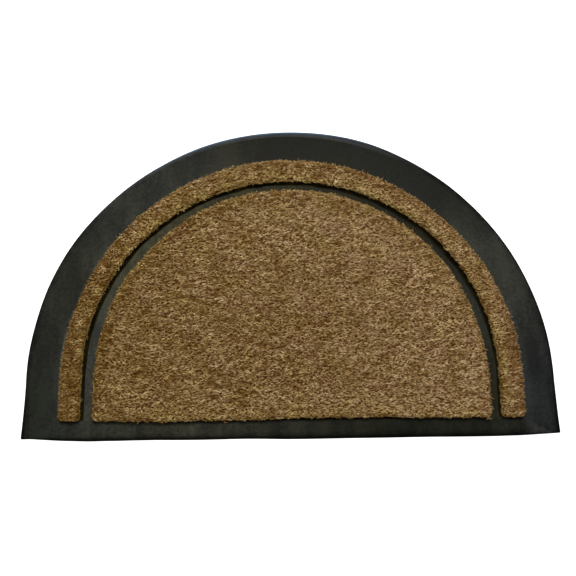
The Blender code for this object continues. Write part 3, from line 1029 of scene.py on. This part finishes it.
# %% Stray fibres
def strays(depth, count, seed):
    """Single long fibres that lie loose on the pile, a few of them reaching out over the rubber."""
    random = np.random.default_rng(seed)
    x, y = random.uniform((-RADIUS, FRONT_Y), (RADIUS, FRONT_Y + 2 * RADIUS), (count * 12, 2)).T
    chosen = np.flatnonzero(depth(x, y) > -2.0 * MM)[:count]
    x, y = x[chosen], y[chosen]
    total = len(x)
    heading = random.uniform(0, 2 * math.pi, total)
    slant = random.uniform(1.25, 1.5, total)
    lengths = random.uniform(11.0, 19.0, total) * MM
    directions = unit(np.column_stack([np.cos(heading), np.sin(heading), np.cos(slant)]))
    roots = np.stack([x, y], 1) - directions[:, :2] * lengths[:, None]
    directions[depth(*roots.T, True) < 0.5 * MM, :2] *= -1
    low = np.clip(-depth(x, y) / (3 * MM), 0, 1)
    tips = np.column_stack([x, y, PILE_TOP + random.uniform(0.0, 0.9, total) * MM - 3 * MM * low])
    bends = random.normal(0, 0.16, (total, 3)) * (1, 1, 0.3) * lengths[:, None]
    widths = random.uniform(0.45, 0.7, total) * MM
    tones = np.clip(random.normal(0.72, 0.15, total), 0, 1)
    hues = np.clip(random.normal(0.6, 0.2, total), 0, 1)
    return tips, directions, lengths, widths, bends, tones, hues


band_outline = arch(BAND_OUTER, BAND_INNER, COIR_FRONT, COIR_CORNER, (20, 6, 40, 600))
field_fibres = [np.concatenate(parts) for parts in zip(
    top_locks(field_depth, 21), rim_locks(field_outline, 32), strays(field_depth, 600, 71))]
band_fibres = [np.concatenate(parts) for parts in zip(
    top_locks(band_depth, 43), rim_locks(band_outline, 54), strays(band_depth, 160, 72))]
print("fibres:", len(field_fibres[0]), "in the field and", len(band_fibres[0]), "in the band")

# %% [markdown]
# The fibres are shared out by their place from left to right, so that each mesh stays under
# 200,000 triangles. Each fibre also gets a cell of its own on a UV map, where its three long sides
# lie next to each other. The map is there for anyone who bakes the colours.

# %% Make the fibre pieces
BAKE_MAP = "OFBake"
CELL_MARGIN = 0.04


def fibre_piece(name, fibres):
    """One object from arrays of fibres, with the attributes that its material reads and a map of cells."""
    *shape, tones, hues = fibres
    points, faces = fibre_mesh(*shape)
    obj = mesh_object(name, points, [faces], coir)
    along = np.tile([0.0, 0.6, 0.6, 0.6, 1.0], len(tones))
    give(obj, tone=np.repeat(tones, 5), hue=np.repeat(hues, 5), along=along)
    cells = math.ceil(math.sqrt(len(tones)))
    number = np.arange(len(tones))
    corner = np.stack([number % cells, number // cells], 1)[:, None, None]
    across = np.array([(k + 0.5, k + 1, k) for k in range(3)] + [(k + 0.5, k, k + 1) for k in range(3)])
    upward = np.array([(0, 1, 1)] * 3 + [(2, 1, 1)] * 3)
    inner = CELL_MARGIN + (1 - 2 * CELL_MARGIN) * np.stack([across / 3, upward / 2], 2)
    layer = obj.data.uv_layers.new(name=BAKE_MAP)
    layer.data.foreach_set("uv", ((corner + inner) / cells).astype(np.float32).ravel())
    return obj


def fibre_pieces(name, fibres, parts):
    """The fibres as so many objects, each with the same count of them, shared out from left to right."""
    order = np.argsort(fibres[0][:, 0], kind="stable")
    return [fibre_piece(f"{name}_{number}", [values[share] for values in fibres])
            for number, share in enumerate(np.array_split(order, parts), 1)]


field_pieces = fibre_pieces("mat_coir_field_fibres", field_fibres, 4)
band_pieces = fibre_pieces("mat_coir_band_fibres", band_fibres, 2)
triangles = {piece.name: len(piece.data.polygons) for piece in (*field_pieces, *band_pieces)}
print("triangles:", triangles, "total", sum(triangles.values()))

# %% [markdown]
# ## Fixing the pieces to the solids
#
# Every piece rides on the mat's one body. The tray and the two masses of pile stand for the solids,
# and the fibres stand for the same solids as the mass that they grow from.

# %% Ride and replace
for piece, node, finish in (
    (tray, "rubber_tray", "moulded_rubber"),
    (band_mass, "coir_band", "coir_pile"),
    *((piece, "coir_band", "coir_pile") for piece in band_pieces),
    (field_mass, "coir_field", "coir_pile"),
    *((piece, "coir_field", "coir_pile") for piece in field_pieces),
):
    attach(piece, "root")
    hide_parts(node)

# %% [markdown]
# ## Floor, light and camera
#
# The mat lies on a pale floor. The main light hangs above it and behind, so the walls of pile that
# face the camera fall into shadow, as a dark line along the inside of the arch, which the painted shade
# of the pockets and of the lower pile deepens. A weaker one at the left and a weak one at the right
# soften that shadow, a low bluish one far behind makes the lip shine, and white light from all round
# fills in the rest. The camera looks steeply down from just in front.

# %% Floor
FLOOR_HALF = 12.0


def make_floor():
    """A large pale plane, off-white and matt."""
    material, add = new_material("pale matt floor")
    shader = add("BsdfPrincipled", Base_Color=paint("#f4f4f3"), Roughness=0.9)
    add("OutputMaterial", Surface=shader)
    corners = np.array([(-1, -1, 0), (1, -1, 0), (1, 1, 0), (-1, 1, 0)]) * FLOOR_HALF
    return mesh_object("floor", corners, [np.array([[0, 1, 2, 3]])], material)


make_floor()
print("floor:", 2 * FLOOR_HALF, "m square")

# %% Light
def put_down(name, data, right, above, place):
    """An object for a light or a camera at a place, with its own X and Y axes along right and above."""
    axes = np.eye(4)
    axes[:3] = np.column_stack([right, above, np.cross(right, above), place])
    obj = bpy.data.objects.new(name, data)
    obj.matrix_world = Matrix(axes.tolist())
    bpy.context.scene.collection.objects.link(obj)
    return obj


def area_light(name, place, size, power, colour):
    """A rectangular area light at a place, turned to shine at the middle of the floor."""
    data = bpy.data.lights.new(name, "AREA")
    data.shape = "RECTANGLE"
    data.size, data.size_y = size
    data.energy = power
    data.color = paint(colour)[:3]
    ahead = -np.array(place) / np.linalg.norm(place)
    right = np.cross(ahead, (0.0, 0.0, 1.0))
    right /= np.linalg.norm(right)
    put_down(name, data, right, np.cross(right, ahead), place)


area_light("key", (0.25, 1.0, 2.6), (0.6, 0.6), 105.0, "#ffffff")
area_light("left", (-0.9, 0.35, 2.8), (0.8, 0.8), 30.0, "#fffaf0")
area_light("right", (0.95, 0.3, 2.8), (0.6, 0.6), 8.0, "#dce8ff")
area_light("window", (-0.35, 3.0, 0.58), (3.2, 0.5), 31.0, "#97c6f8")
world = bpy.data.worlds.new("studio")
bpy.context.scene.world = world
world.use_nodes = True
background = world.node_tree.nodes["Background"]
background.inputs["Color"].default_value = (1.0, 1.0, 1.0, 1.0)
background.inputs["Strength"].default_value = 0.2
bpy.context.scene.view_settings.view_transform = "Standard"
print("lights:", [light.name for light in bpy.data.lights])

# %% [markdown]
# The camera's place and turn were found by matching the mat's outline to the photograph. Its picture
# is square, and its focal length is given in pixels of a 576 pixel wide picture.

# %% Camera
PICTURE = 576
FOCAL_PIXELS = 950.0
SENSOR = 36.0
CAMERA_PLACE = np.array([-0.0441, -0.1333, 1.6356])
PITCH, YAW, ROLL = (math.radians(angle) for angle in (76.27, 5.89, 5.27))


def make_camera():
    """A camera from pitch below level, yaw from +Y towards +X, and roll, all turned into three axes."""
    ahead = np.array([math.sin(YAW) * math.cos(PITCH), math.cos(YAW) * math.cos(PITCH), -math.sin(PITCH)])
    level = np.array([math.cos(YAW), -math.sin(YAW), 0.0])
    upright = np.cross(level, ahead)
    right = math.cos(ROLL) * level + math.sin(ROLL) * upright
    above = math.cos(ROLL) * upright - math.sin(ROLL) * level
    data = bpy.data.cameras.new("camera")
    data.sensor_width = SENSOR
    data.lens = FOCAL_PIXELS / PICTURE * SENSOR
    data.clip_end = 50.0
    return put_down("camera", data, right, above, CAMERA_PLACE + (0.0, FRONT_Y, 0.0))


bpy.context.scene.camera = make_camera()
print(f"lens {bpy.context.scene.camera.data.lens:.1f} mm")
